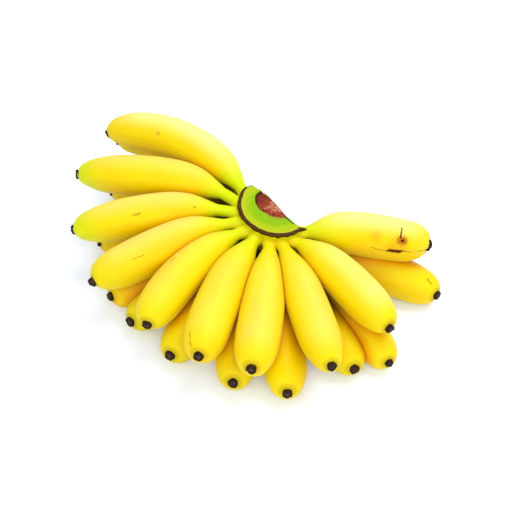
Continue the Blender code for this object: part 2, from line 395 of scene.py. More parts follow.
def turned_end(finger, tip, ahead, points, to_tip):
    """Turns the blunt end about an upright line a little behind it."""
    turn = math.radians(END_TURNS.get(finger.name, 0.0)) * (1 - fade(to_tip, 0.0, END_REACH))
    turn = turn.reshape(-1, *(1,) * (points.ndim - 2))
    pivot = tip - ahead * END_PIVOT
    off = points - pivot
    turned = off.copy()
    turned[..., 0] = off[..., 0] * np.cos(turn) - off[..., 1] * np.sin(turn)
    turned[..., 1] = off[..., 0] * np.sin(turn) + off[..., 1] * np.cos(turn)
    return pivot + turned


def model_finger(index, fields):
    finger, root_height = FINGERS[index]
    body_rings = SKIN_RINGS - 1 - len(CLOSING_SHARES)
    even = np.linspace(0.0, 1.0, body_rings)
    along = 1.0 - (1.0 - even) ** RING_CROWDING
    middles, ahead, up, side = ring_frames(finger, root_height, along)
    turns = np.arange(SKIN_SIDES) * TURN / SKIN_SIDES
    ways = (up[:, None] * np.cos(turns)[None, :, None]
            + side[:, None] * np.sin(turns)[None, :, None])
    radius = radius_at(finger, along)
    steps = np.linalg.norm(np.diff(middles, axis=0), axis=1)
    lengths = np.concatenate(((0.0,), np.cumsum(steps)))

    straight = np.stack((radius[:, None] * np.cos(turns), radius[:, None] * np.sin(turns),
                         np.broadcast_to(lengths[:, None], (body_rings, SKIN_SIDES))), axis=2)
    straight = straight + PATTERN_STEP * index
    swell = (fade(along, finger.neck, finger.neck + SWELL_SPAN)
             * (1 - fade(along, SWELL_END, 1.0)))
    ridge = np.cos(RIDGES * turns)[None] + 0.25 * np.cos(2 * RIDGES * turns)[None]
    lumps = clouds(straight, LUMP_SIZE)
    reach = radius[:, None] * (1.0 + swell[:, None] * (RIDGE_HEIGHT * ridge + LUMP_HEIGHT * lumps))
    from_wall = lengths - ROOT_DEPTH
    web = WEB_FLARE * (1 - fade(from_wall, 0.0, WEB_REACH))
    reach = reach + web[:, None] * (1.0 - WEB_TOP_CUT * np.maximum(0.0, np.cos(turns)))[None]

    clearance = CLEARANCE - WEB_SINK * (1 - fade(from_wall, 2.0, WEB_REACH + 1.0))
    others = near_fields(index, fields)
    pressed = press(np.repeat(middles, SKIN_SIDES, axis=0), ways.reshape(-1, 3),
                    reach.reshape(-1), np.repeat(clearance, SKIN_SIDES), fields[index], others)
    pressed = rounded(pressed.reshape(reach.shape))
    body = middles[:, None] + ways * pressed[:, :, None]
    # Painted orange shade where a neighbouring finger comes near
    painted_orange_shade = fade(-deepest(body.reshape(-1, 3), others), PAINTED_SHADE_REACH, 0.5).reshape(reach.shape)

    tip = middles[-1]
    end = [tip + (body[-1] - tip) * share + ahead[-1] * (1 - share) * END_BULGE
           for share in CLOSING_SHARES]
    pole = np.broadcast_to(tip + ahead[-1] * END_BULGE, (1, SKIN_SIDES, 3))
    grid = np.concatenate((np.broadcast_to(middles[0], (1, SKIN_SIDES, 3)), body, np.array(end),
                           pole))
    to_tip = lengths[-1] - lengths

    def whole(values):
        """A mark's values with the first and last repeated for the closing rings."""
        return np.concatenate((values[:1], values, np.repeat(values[-1:], len(end) + 1, axis=0)))

    grid = turned_end(finger, tip, ahead[-1], grid, whole(to_tip))
    grid[:, :, 2] = np.maximum(grid[:, :, 2], 0.0)
    green = (finger.green_neck * (1 - fade(lengths, *NECK_GREEN_SPAN))
             + finger.green_tip * (1 - fade(to_tip, *TIP_GREEN_SPAN)))
    green = np.broadcast_to(green[:, None], reach.shape)
    # Painted shade: darker necks in the crevices near the crown, and under the upper necks
    if root_height == LOWER_ROOT_HEIGHT:
        past_neck = lengths - SHADE_REACHES.get(finger.name, 0.0)
        shade = NECK_SHADES.get(finger.name, 1.0) * fade(past_neck, *NECK_SHADE_SPAN)[:, None]
        shade = shade * fade(ways[:, :, 1], OPEN_SIDES.get(finger.name, NO_OPEN_SIDE), -0.4)
        # Painted shade, dark and orange, on the side that faces a neighbour
        aside = (fade(ways[:, :, 0] * SHADED_SIDES.get(finger.name, 0.0), 0.1, 0.9)
                 * fade(to_tip, 10.0, 38.0)[:, None])
        shade = np.clip(shade + SIDE_SHADE * aside, 0.0, 1.0)
        painted_orange_shade = (painted_orange_shade + NECK_PAINTED_ORANGE_SHADE * fade(lengths, *NECK_PAINTED_ORANGE_SHADE_SPAN)[:, None]
                 + SIDE_PAINTED_ORANGE_SHADE * aside)
    else:
        shade = (fade(lengths, *UNDER_NECK_SPAN)[:, None]
                 * fade(np.cos(turns), 0.0, -0.8)[None] * UNDER_NECK_SHADE)
        painted_orange_shade = painted_orange_shade * UPPER_PAINTED_ORANGE_SHADE
    # Painted highlight: a pale top on the fingers, on the side that faces the lights
    bloom = (PAINTED_HIGHLIGHTS.get(finger.name, 0.0) * fade(ways @ PAINTED_HIGHLIGHT_WAY, *PAINTED_HIGHLIGHT_SPAN) ** PAINTED_HIGHLIGHT_POWER
             * fade(along, finger.neck, 0.4)[:, None] * fade(along, 1.0, 0.75)[:, None])
    # The deep mark: painted orange shade, plus a deeper yellow all over some fingers
    deep = np.clip(painted_orange_shade + DEEP_YELLOWS.get(finger.name, 0.0), 0.0, 1.0)
    to_tip = np.broadcast_to(to_tip[:, None], reach.shape)
    ridge_line = np.broadcast_to(fade(np.cos(RIDGES * turns), 0.6, 1.0)[None] * swell[:, None],
                                 reach.shape)
    ball = add_ball("skin_" + finger.name, SKIN_SIDES, SKIN_RINGS)
    shape_ball(ball, grid, straight=whole(straight), green=whole(green), to_tip=whole(to_tip),
               ridge_line=whole(ridge_line), shade=whole(shade), bloom=whole(bloom),
               deep=whole(deep))
    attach(ball, "root")
    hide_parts("finger_" + finger.name)
    return ball


# The dried blossom ends
STUB_SIDES = 48
STUB_RINGS = 26
# Share of the stub's radius, and height over the finger's end
STUB_PROFILE = ((0.0, -4.2), (0.8, -4.0), (0.97, -1.0), (1.0, 0.1), (1.0, 0.9), (0.98, 1.4),
                (0.92, 1.7), (0.82, 1.8), (0.68, 1.6), (0.50, 1.35), (0.34, 1.3), (0.2, 1.5),
                (0.0, 1.6))
# How the stub itself leans off its finger: about an upright line, and up, in degrees
STUB_LEANS = {"upper_02": (38.0, 28.0), "upper_03": (36.0, 24.0), "upper_04": (26.0, 22.0),
              "upper_10": (-32.0, 36.0), "upper_01": (20.0, 8.0), "upper_05": (8.0, 8.0),
              "upper_09": (0.0, -9.0), "lower_08": (0.0, -12.0), "lower_10": (0.0, -12.0)}
# How far a leaning stub is pushed out, beside its radius
STUB_LIFT = 0.3
# How far a stub stands off the middle of its end, in mm, and its size beside the usual one
STUB_SHIFTS = {"upper_10": (-1.9, -0.8, 4.0), "upper_02": (0.5, -1.8, 2.4),
               "upper_03": (0.8, -0.9, 1.5), "upper_01": (0.9, 0.2, 0.0),
               "upper_09": (-0.4, -1.0, -0.3), "lower_08": (0.0, -0.8, -0.4)}
STUB_SIZES = {"upper_10": 1.24, "upper_02": 1.1, "upper_03": 1.08, "upper_08": 0.94,
              "upper_09": 0.92, "lower_08": 0.94, "lower_10": 0.84, "lower_02": 0.86,
              "lower_03": 0.9, "lower_05": 1.08, "lower_06": 1.06}
STUB_SHRINK = 0.92
# How crumpled a stub is: the size of its folds, and how far they stand out and up
FOLD_SIZE = 1.5
FOLD_OUT = 0.18
FOLD_UP = 0.4
# Which way a leftover shred of blossom points, seen from the tip, and its length
SPURS = {"upper_01": (100.0, 1.4), "lower_08": (35.0, 1.6), "lower_06": (-60.0, 0.9),
         "lower_10": (200.0, 0.6)}
SPUR_WIDTH = 0.30
SPUR_RISE = 0.25


def model_stub(index, husk):
    finger, root_height = FINGERS[index]
    middles, aheads, ups, sides = ring_frames(finger, root_height, np.array((0.0, 1.0)))
    tip, finger_ahead, up, side = middles[1], aheads[1], ups[1], sides[1]
    yaw, lift = (math.radians(lean) for lean in STUB_LEANS.get(finger.name, (0.0, 0.0)))
    ahead = finger_ahead * math.cos(yaw) - side * math.sin(yaw)
    side = side * math.cos(yaw) + finger_ahead * math.sin(yaw)
    ahead, up = (ahead * math.cos(lift) + up * math.sin(lift),
                 up * math.cos(lift) - ahead * math.sin(lift))
    size = STUB_RADIUS * STUB_SHRINK * STUB_SIZES.get(finger.name, 1.0)
    lift_out = STUB_LIFT * size * math.sqrt(max(0.0, 1 - (ahead @ finger_ahead) ** 2))
    turns = np.arange(STUB_SIDES) * TURN / STUB_SIDES
    steps = np.linspace(0, len(STUB_PROFILE) - 1, STUB_RINGS + 1)
    shares = np.interp(steps, range(len(STUB_PROFILE)), [share for share, _ in STUB_PROFILE])
    heights = np.interp(steps, range(len(STUB_PROFILE)), [height for _, height in STUB_PROFILE])
    phase = index * 2.4
    lobes = (1.0 + 0.05 * np.cos(3 * turns + phase) + 0.03 * np.cos(5 * turns - phase)
             + 0.02 * np.cos(8 * turns + 2 * phase))
    radius = size * shares[:, None] * lobes[None]
    outer = fade(heights, 0.0, 0.9)[:, None] * fade(shares, 0.6, 1.0)[:, None]
    crumple_at = np.stack((radius * np.cos(turns), radius * np.sin(turns),
                           np.broadcast_to(heights[:, None] + index * 17.0, radius.shape)), axis=2)
    crumple = clouds(crumple_at, FOLD_SIZE, 3)
    radius = radius + crumple * FOLD_OUT * fade(shares, 0.2, 0.9)[:, None]
    rise = heights[:, None] + crumple * FOLD_UP * fade(heights, -0.2, 0.9)[:, None]
    if finger.name in SPURS:
        spur_turn, spur_length = SPURS[finger.name]
        off = (turns - math.radians(spur_turn) + math.pi) % TURN - math.pi
        spur = np.exp(-(off / SPUR_WIDTH) ** 2)[None] * outer * spur_length
        radius = radius + spur
        rise = rise + spur * SPUR_RISE
    root = tip + np.array(STUB_SHIFTS.get(finger.name, (0.0, 0.0, 0.0)))
    grid = (root + up * (radius * np.cos(turns))[:, :, None]
            + side * (radius * np.sin(turns))[:, :, None]
            + ahead * (rise[:, :, None] + lift_out))
    grid = turned_end(finger, tip, finger_ahead, grid, np.zeros(len(grid)))
    ball = add_ball("stub_" + finger.name, STUB_SIDES, STUB_RINGS)
    centre = np.broadcast_to(1 - fade(shares, 0.1, 0.75)[:, None], radius.shape)
    shape_ball(ball, grid, centre=centre * fade(heights, 0.3, 0.7)[:, None])
    ball.data.materials.append(husk)
    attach(ball, "root")


# The crown
ROUND_STEPS = 116
BACK_STEPS = 52
FOOT_RINGS = 3
WALL_RINGS = 40
TOP_RINGS = 52
TOP_CENTRE = (-1.0, 7.0)      # along the split side, and away from it
PITH_MIDDLE = -2.6
PITH_HALF_LENGTH = 14.6
PITH_HALF_WIDTH = 10.9
# How far the split side's top edge stands off the crown's middle, along it
SPLIT_EDGE = ((-27.0, -0.6), (-20.0, -1.5), (-11.0, -2.2), (-2.4, -0.4), (9.7, 2.6), (20.0, 3.1),
              (27.0, 3.8))
LEFT_CORNER = 5.0
# The shred of rind at the right end: where it starts, as along, deep and below, and its way
FLAP_ROOT = (25.0, 6.2, 0.3)
FLAP_REACH = 1.9
FLAP_LENGTH = 6.4
FLAP_WAY = np.array((0.99, 0.06, 0.02))
# How far the rind stands out past the solid's round side, by heading
RIM_OUT = ((125.0, 2.0), (142.0, 1.7), (160.0, 0.2), (180.0, -0.5), (205.0, -0.8), (222.0, -1.0),
           (240.0, -0.3), (255.0, 0.7), (270.0, 1.4), (290.0, 1.2), (304.0, -0.4), (316.0, -1.6))
# The dried cut edge of the rind: its width over the face by heading, its slope, its depth
EDGE_WIDTHS = ((128.0, 0.9), (160.0, 1.8), (185.0, 2.0), (222.0, 1.2), (250.0, 0.8), (316.0, 0.8))
EDGE_DROP = 1.0
EDGE_DEPTH = 2.7
# The rounding of the rind's top edge: its height, and its share of the radius over and in
EDGE_ROUND = 0.8
EDGE_SHARE = 0.985
EDGE_BULGE = 0.03
# The middle of the crown's foot, towards the round side, and the length of one frayed fibre
FOOT_DEEP = 6.0
FIBRE_SQUASH = np.array((1.0, 1.0, 0.16))


def model_crown(rind):
    along_way = heading(CROWN_FACING + 90.0)[:2]
    deep_way = heading(CROWN_FACING)[:2]
    corner_turns = tuple(np.linspace(10.0, 90.0, 9))

    def loop_at(share):
        return crown_outline(CROWN_RADIUS * share, ROUND_STEPS, corner_turns, BACK_STEPS,
                             LEFT_CORNER)

    below_top = np.array([below for below, _ in CROWN_PROFILE])
    shares = np.array([share for _, share in CROWN_PROFILE])
    wall_below = np.concatenate((np.linspace(38.0, 7.0, WALL_RINGS - 20),
                                 np.linspace(6.6, 0.8, 14), (0.55, 0.36, 0.22, 0.12, 0.04, 0.0)))
    wall_shares = np.interp(-wall_below, -below_top, shares)
    edge = wall_below < EDGE_ROUND
    edge_turn = np.clip(1 - (1 - wall_below[edge] / EDGE_ROUND) ** 2, 0, 1)
    wall_shares[edge] = EDGE_SHARE + EDGE_BULGE * np.sqrt(edge_turn)

    rows = []
    heights = []
    foot = loop_at(wall_shares[0])
    foot_middle = CROWN_MIDDLE + deep_way * FOOT_DEEP
    for share in (0.0, *np.linspace(0.3, 0.9, FOOT_RINGS)):
        rows.append(foot_middle + (foot - foot_middle) * share)
        heights.append(CROWN_TOP - wall_below[0])
    for below, share in zip(wall_below, wall_shares):
        rows.append(loop_at(share))
        heights.append(CROWN_TOP - below)
    face_from = len(rows)
    face_edge = loop_at(wall_shares[-1])
    face_middle = CROWN_MIDDLE + along_way * TOP_CENTRE[0] + deep_way * TOP_CENTRE[1]
    for share in 1.0 - np.linspace(0.0, 1.0, TOP_RINGS + 1)[1:] ** 1.4:
        rows.append(face_middle + (face_edge - face_middle) * share)
        heights.append(CROWN_TOP)
    flat = np.array(rows)
    count = flat.shape[1]
    grid = np.concatenate((flat, np.broadcast_to(np.array(heights)[:, None, None],
                                                 (len(rows), count, 1))), axis=2)

    off = flat - CROWN_MIDDLE
    along = off @ along_way
    deep = off @ deep_way
    below = CROWN_TOP - grid[:, :, 2]
    on_face = np.zeros(flat.shape[:2])
    on_face[face_from:] = 1.0
    from_axis = np.linalg.norm(off, axis=2)
    to_rim = CROWN_RADIUS * EDGE_SHARE - from_axis
    round_side = fade(deep + 1.3 * fade(along, -15.0, -21.0), -1.2, 1.5)
    turn = np.degrees(np.arctan2(off[:, :, 1], off[:, :, 0])) % 360.0
    edge_width = smooth_curve(EDGE_WIDTHS, turn)

    split_at = np.interp(along, *zip(*SPLIT_EDGE))
    ragged = clouds(grid, 3.0)
    fibres = clouds(grid * FIBRE_SQUASH, 1.5, 3)
    grain = clouds(grid, 1.1, 3)
    beyond = np.maximum(0.0, split_at + 0.35 * ragged - deep)
    oval = np.sqrt(((along - PITH_MIDDLE) / PITH_HALF_LENGTH) ** 2 + (deep / PITH_HALF_WIDTH) ** 2)
    oval = oval + 0.035 * ragged
    pith = (1 - fade(oval, 0.95, 1.03)) * on_face
    knobs = clouds(grid, 4.2, 2)
    sunk = -1.3 * fade(oval, 1.04, 0.95) + (0.75 + 0.75 * knobs) * fade(oval, 0.95, 0.55)
    slit_line = split_at + 0.9
    slit = (np.exp(-((deep - slit_line) / 0.7) ** 2) * fade(along, 8.0, 11.0)
            * fade(along, 22.0, 19.0) * on_face)
    edge_share = np.clip(1.0 - to_rim / edge_width, 0.0, 1.0) ** 1.3
    edge_width = edge_width + 0.25 * ragged
    lip = np.exp(-((to_rim - edge_width - 0.45) / 0.35) ** 2) * on_face * fade(deep, -0.5, 2.0)
    rayed = np.stack((from_axis * 0.5, np.arctan2(along, deep) * 20.0, grid[:, :, 2]), axis=2)
    streaks = clouds(rayed, 1.6, 3)
    face_drop = (-0.35 * fade(to_rim, 2.0, 5.5) + 0.10 * streaks + 0.12 * lip + sunk
                 + 0.25 * grain * pith - 0.5 * slit - EDGE_DROP * edge_share)
    chip = -1.7 * beyond - 0.5 * grain * fade(beyond, 0.0, 1.0)
    wall_chip = (-1.7 * beyond * fade(below, 9.0, 0.0)
                 - EDGE_DROP * np.clip(1 - below / (2 * EDGE_DROP), 0.0, 1.0) * round_side)
    grid[:, :, 2] += np.where(on_face > 0, face_drop * fade(beyond, 2.0, 0.0) + chip, wall_chip)

    low_edge = EDGE_DEPTH + 0.7 * ragged
    collar = fade(below, low_edge + 0.3, low_edge - 0.3) * (1 - on_face) * round_side
    collar_ridge = fade(below, 5.6, 4.6) * (1 - on_face) * round_side
    out = np.concatenate((off / np.maximum(from_axis, 1e-6)[:, :, None],
                          np.zeros((*flat.shape[:2], 1))), axis=2)
    split_out = np.broadcast_to(np.array((*-deep_way, 0.0)), out.shape)
    back_face = fade(deep, 0.0, -1.6) * (1 - on_face)
    wall = 1 - on_face
    rough = ((0.30 * grain + 0.25 * ragged) * collar_ridge
             + 0.22 * ragged * (1 - collar_ridge) * round_side)
    grid += out * (rough * wall)[:, :, None]
    grid += split_out * (back_face * (0.45 * fibres - 0.25 * (1 + ragged)))[:, :, None]
    rim_out = (smooth_curve(RIM_OUT, turn) * (from_axis / CROWN_RADIUS) ** 3
               * fade(below, 14.0, 4.0))
    grid += out * rim_out[:, :, None]
    flap_off = np.stack((along, deep, below), axis=2) - np.array(FLAP_ROOT)
    flap = fade(np.linalg.norm(flap_off, axis=2), FLAP_REACH, 0.3) * FLAP_LENGTH
    grid += FLAP_WAY * flap[:, :, None]

    ball = add_ball("crown_cut", count, len(rows) - 1)
    to_outline = np.linalg.norm(flat - face_edge, axis=2)
    corner_edge = fade(to_outline, 1.1, 0.7) * fade(along, -18.5, -21.5)
    dark_edge = np.maximum(fade(to_rim, edge_width + 0.2, edge_width - 0.2)
                           * fade(deep, -2.2, -0.6), corner_edge)
    dark_edge = np.clip(collar + on_face * dark_edge + fade(flap, 1.0, 2.2), 0.0, 1.0)
    shape_ball(ball, grid, collar=dark_edge, lip=lip, pith=pith, slit=slit,
               pith_edge=np.exp(-((oval - 0.97) / 0.07) ** 2) * on_face * fade(beyond, 0.6, 0.0),
               split=np.clip(back_face + fade(beyond, 0.3, 1.2), 0.0, 1.0),
               round_pith=np.exp(-((oval - 1.12) / 0.09) ** 2) * on_face * fade(along, -6.0, 6.0),
               pith_pale=fade(oval, 0.9, 0.35) * fade(along, -12.0, 4.0) * on_face,
               pith_dark=fade(along, -4.0, -13.0) * on_face,
               to_rim=to_rim, face=on_face)
    ball.data.materials.append(rind)
    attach(ball, "root")
    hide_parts("crown")


# Materials
def tint(red, green, blue):
    """A colour given as on a screen, 0 to 255, made linear for the shader."""
    return tuple(((part / 255 + 0.055) / 1.055) ** 2.4 if part > 10 else part / 255 / 12.92
                 for part in (red, green, blue)) + (1.0,)


class Wire:
    """A value inside a finish; sums written with it become Math nodes."""

    def __init__(self, finish, socket):
        self.finish = finish
        self.socket = socket

    def sum(self, operation, *terms):
        return self.finish.add("ShaderNodeMath", {"operation": operation}, *terms)

    def __add__(self, other):
        return self.sum("ADD", self, other)

    def __sub__(self, other):
        return self.sum("SUBTRACT", self, other)

    def __mul__(self, other):
        return self.sum("MULTIPLY", self, other)

    def __radd__(self, other):
        return self.sum("ADD", other, self)

    def __rsub__(self, other):
        return self.sum("SUBTRACT", other, self)

    def __rmul__(self, other):
        return self.sum("MULTIPLY", other, self)


class Finish:
    """A material, built node by node."""

    def __init__(self, name, **constants):
        self.material = bpy.data.materials.new(name)
        self.material.use_nodes = True
        self.nodes = self.material.node_tree.nodes
        self.links = self.material.node_tree.links
        self.shader = self.nodes["Principled BSDF"]
        for socket, value in constants.items():
            self.shader.inputs[socket.replace("_", " ")].default_value = value

    def feed(self, socket, value):
        if isinstance(value, Wire):
            self.links.new(value.socket, socket)
        else:
            socket.default_value = value

    def add(self, kind, settings=None, *values, output=0, **named):
        node = self.nodes.new(kind)
        for name, value in (settings or {}).items():
            setattr(node, name, value)
        for place, value in enumerate(values):
            self.feed(node.inputs[place], value)
        for name, value in named.items():
            self.feed(node.inputs[name.replace("_", " ")], value)
        return Wire(self, node.outputs[output])

    def mark(self, name, output="Fac"):
        return self.add("ShaderNodeAttribute", {"attribute_name": name}, output=output)

    def place(self):
        return self.add("ShaderNodeTexCoord", output="Object")

    def stretched(self, vector, scale):
        return self.add("ShaderNodeMapping", {}, Vector=vector, Scale=scale)

    def clouds(self, vector, scale, detail=3.0, roughness=0.5, warp=0.0):
        return self.add("ShaderNodeTexNoise", {}, Vector=vector, Scale=scale, Detail=detail,
                        Roughness=roughness, Distortion=warp)

    def ramp(self, value, start, end, low=0.0, high=1.0):
        return self.add("ShaderNodeMapRange", {"interpolation_type": "SMOOTHSTEP"}, value,
                        start, end, low, high)

    def mix(self, share, first, second):
        node = self.nodes.new("ShaderNodeMix")
        node.data_type = "RGBA"
        for socket, value in zip((node.inputs[0], node.inputs[6], node.inputs[7]),
                                 (share, first, second)):
            self.feed(socket, value)
        return Wire(self, node.outputs[2])

    def vector_sum(self, operation, first, second, output=0):
        return self.add("ShaderNodeVectorMath", {"operation": operation}, first, second,
                        output=output)

    def scaled(self, vector, scale):
        return self.add("ShaderNodeVectorMath", {"operation": "SCALE"}, vector, Scale=scale)

    def wobbled(self, vector, scale, amount):
        """A place pushed about by soft noise, so that what is measured from it isn't straight."""
        push = self.add("ShaderNodeTexNoise", {}, Vector=vector, Scale=scale, Detail=2.0, output=1)
        push = self.vector_sum("SUBTRACT", push, (0.5, 0.5, 0.5))
        return self.vector_sum("ADD", vector, self.scaled(push, amount))

    def gap_to(self, spot, vector):
        """How far a place lies from a spot, in metres."""
        return self.vector_sum("DISTANCE", vector, tuple(spot), 1)

    def stroke(self, first, last, half_width, soft, vector):
        """1 along a line between two spots and 0 away from it; its widths are in mm."""
        way = last - first
        off = self.vector_sum("SUBTRACT", vector, tuple(first))
        share = self.vector_sum("DOT_PRODUCT", off, tuple(way / (way @ way)), 1)
        share = self.add("ShaderNodeClamp", {}, share, 0.0, 1.0)
        gap = self.vector_sum("DISTANCE", off, self.scaled(tuple(way), share), 1)
        return self.ramp(gap, (half_width + soft) * MM, half_width * MM)

    def most(self, masks):
        """The strongest of several masks."""
        strongest = masks[0]
        for mask in masks[1:]:
            strongest = strongest.sum("MAXIMUM", strongest, mask)
        return strongest

    def finish(self, colour, roughness, height=None, depth=0.0):
        self.feed(self.shader.inputs["Base Color"], colour)
        self.feed(self.shader.inputs["Roughness"], roughness)
        if height is not None:
            bump = self.add("ShaderNodeBump", {}, Strength=1.0, Distance=depth, Height=height)
            self.feed(self.shader.inputs["Normal"], bump)
        return self.material


# Marks on the skins, as places in mm in the drawing frame: two ends, half width, soft edge
DARK_STROKES = (((94.0, 5.9, 54.0), (93.3, 2.8, 52.5), 0.28, 0.35),
                ((93.3, 2.8, 52.5), (92.9, 0.9, 51.0), 0.34, 0.35),
                ((86.0, -2.9, 46.7), (93.4, -2.0, 44.9), 0.85, 0.90),
                ((94.0, 0.1, 49.6), (94.8, 0.3, 49.3), 0.40, 1.00),
                ((84.3, -3.2, 47.0), (95.8, -1.7, 44.4), 0.15, 0.70))
BROWN_STROKES = (((74.3, -4.3, 51.0), (79.5, -3.8, 48.6), 0.10, 0.30),
                 ((79.5, -3.8, 48.6), (84.3, -3.2, 47.0), 0.15, 0.40),
                 ((95.9, -1.7, 44.4), (100.1, -1.0, 43.1), 0.20, 0.45),
                 ((100.1, -1.0, 43.1), (104.8, 0.6, 42.0), 0.15, 0.35),
                 ((104.8, 0.6, 42.0), (110.6, 3.6, 39.3), 0.20, 0.40),
                 ((92.5, -0.4, 50.0), (95.4, 0.5, 49.2), 1.10, 3.00),
                 ((92.9, 0.9, 51.0), (94.4, 0.3, 49.5), 0.80, 0.90))
FAINT_STROKES = (((-81.0, 14.9, 58.4), (-76.5, 15.3, 59.3), 0.12, 1.1),
                 ((-40.6, 19.4, 61.5), (-40.1, 19.2, 61.5), 0.45, 0.7),
                 ((-78.3, -18.7, 51.7), (-71.3, -16.5, 53.0), 0.20, 0.4),
                 ((-54.2, -23.4, 53.7), (-51.8, -20.7, 54.6), 0.25, 0.5),
                 ((-39.3, -73.8, 45.5), (-38.5, -81.2, 42.5), 0.25, 0.8),
                 ((114.7, -9.9, 23.1), (117.0, -12.5, 21.0), 0.15, 1.1))
# The same in single places: a healed ring, freckled skin, and skin rubbed to a deeper yellow
SCAR_RING = (-68.7, 83.0, 73.1)
SPECKLED_SPOTS = ((92.0, -0.9, 50.0), (86.3, -2.6, 50.2))
RUBBED_SPOTS = ((76.6, -2.3, 55.3), (88.1, -3.2, 48.0), (94.8, -1.5, 47.5))


class Surface:
    """The points of the modelled skins, for laying marks on them."""

    def __init__(self, balls):
        points = []
        normals = []
        for ball in balls:
            count = len(ball.data.vertices)
            read = np.empty(count * 3)
            ball.data.vertices.foreach_get("co", read)
            points.append(read.reshape(count, 3).copy())
            ball.data.vertex_normals.foreach_get("vector", read)
            normals.append(read.reshape(count, 3).copy())
        self.points = np.concatenate(points)
        self.normals = np.concatenate(normals)

    def landed(self, spot):
        """A spot given in mm in the drawing frame, moved straight onto the nearest skin."""
        place = np.array(spot) * MM + SHIFT
        nearest = np.argmin(((self.points - place) ** 2).sum(axis=1))
        normal = self.normals[nearest]
        return place - normal * ((place - self.points[nearest]) @ normal)

    def strokes(self, table):
        return [(self.landed(start), self.landed(end), half_width, soft)
                for start, end, half_width, soft in table]


def make_skin(surface):
    skin = Finish("ripe banana skin", Coat_Weight=0.0, Subsurface_Weight=0.08,
                  Subsurface_Radius=(0.003, 0.0015, 0.0002), Subsurface_Scale=1.0,
                  Specular_IOR_Level=0.12, Sheen_Weight=0.05, Sheen_Roughness=0.3)
    straight = skin.mark("straight", "Vector")
    green = skin.mark("green")
    to_tip = skin.mark("to_tip")
    ridge_line = skin.mark("ridge_line")
    shade = skin.mark("shade")
    patches = skin.clouds(skin.stretched(straight, (0.05, 0.05, 0.018)), 1.0, 3.0)
    streaks = skin.clouds(skin.stretched(straight, (0.45, 0.45, 0.045)), 1.0, 4.0, 0.6)
    fine = skin.clouds(skin.stretched(straight, (2.2, 2.2, 0.25)), 1.0, 3.0, 0.6)
    pores = skin.clouds(straight, 1.6, 2.0, 0.5)

    colour = skin.mix(skin.ramp(patches, 0.36, 0.66), tint(226, 202, 0), tint(228, 192, 0))
    colour = skin.mix(skin.ramp(streaks, 0.48, 0.78) * 0.3, colour, tint(224, 180, 0))
    colour = skin.mix(skin.ramp(fine, 0.55, 0.8) * 0.12, colour, tint(206, 170, 10))
    colour = skin.mix(ridge_line * skin.ramp(streaks, 0.3, 0.7) * 0.16, colour, tint(200, 174, 6))
    lime = skin.mix(skin.ramp(streaks, 0.35, 0.7), tint(198, 214, 0), tint(186, 208, 0))
    greenness = skin.ramp(green + (patches - 0.5) * 0.5 + (streaks - 0.5) * 0.15, 0.02, 1.05)
    colour = skin.mix(greenness, colour, lime)
    # Painted orange shade between the fingers and near the lower necks, with a deeper yellow on
    # some fingers
    colour = skin.mix(skin.mark("deep") * 0.6, colour, tint(222, 134, 0))
    # Painted highlight: the fingers' tops made pale where the lights catch them
    colour = skin.mix(skin.mark("bloom") * skin.ramp(patches, 0.2, 0.6, 0.6, 1.0) * 0.8, colour,
                      tint(238, 226, 150))
    # Painted shade: dark olive in the crevices near the crown and beside neighbouring fingers
    colour = skin.mix(shade * 0.9, colour, tint(40, 40, 0))

    freckles = skin.add("ShaderNodeTexVoronoi", {"feature": "F1"}, Vector=straight, Scale=0.16,
                        output="Distance")
    rare = skin.clouds(straight, 0.03, 2.0)
    specks = skin.ramp(freckles, 0.07, 0.03) * skin.ramp(rare, 0.5, 0.62)
    colour = skin.mix(specks * 0.45, colour, tint(130, 82, 20))

    wobbly = skin.wobbled(skin.place(), 600.0, 0.0012)
    ragged = skin.clouds(straight, 1.3, 3.0, 0.6)
    faint = skin.most([skin.stroke(*mark, wobbly) for mark in surface.strokes(FAINT_STROKES)])
    ring_gap = skin.gap_to(surface.landed(SCAR_RING), wobbly)
    ring = skin.ramp(ring_gap, 0.0017, 0.0012) * skin.ramp(ring_gap, 0.0003, 0.0009)
    colour = skin.mix(skin.ramp(ring_gap, 0.0055, 0.001) * 0.3, colour, tint(216, 182, 60))
    faint = skin.most([faint, ring * skin.ramp(ragged, 0.35, 0.55)])
    colour = skin.mix(faint * skin.ramp(ragged, 0.2, 0.5) * 0.75, colour, tint(150, 126, 8))
    dots = skin.ramp(skin.clouds(straight, 1.9, 1.0), 0.60, 0.68)
    speckled = dots * skin.most([skin.ramp(skin.gap_to(surface.landed(spot), wobbly), 0.0065, 0.003)
                                 for spot in SPECKLED_SPOTS])
    rubbed = skin.most([skin.ramp(skin.gap_to(surface.landed(spot), wobbly), 0.0065, 0.0005)
                        for spot in RUBBED_SPOTS])
    colour = skin.mix(rubbed * skin.ramp(patches, 0.3, 0.5) * 0.36, colour, tint(206, 120, 10))
    brown = skin.most([skin.stroke(*mark, wobbly) for mark in surface.strokes(BROWN_STROKES)])
    brown = skin.most([brown * skin.ramp(ragged, 0.3, 0.5), speckled])
    colour = skin.mix(brown * 0.85, colour, tint(150, 58, 4))
    dark = skin.most([skin.stroke(*mark, wobbly) for mark in surface.strokes(DARK_STROKES)])
    colour = skin.mix(dark * skin.ramp(ragged, 0.1, 0.4), colour, tint(84, 22, 2))

    collar = skin.ramp(to_tip + (streaks - 0.5) * 2.5, 1.6, 0.2)
    colour = skin.mix(collar * 0.4, colour, tint(150, 126, 10))
    rub = specks * 0.2 + brown * 0.15 + dark * 0.3
    roughness = 0.48 + (patches - 0.5) * 0.12 + (fine - 0.5) * 0.1 + rub
    height = streaks * 0.5 + fine * 0.35 + pores * 0.15
    return skin.finish(colour, roughness, height, 0.0002)


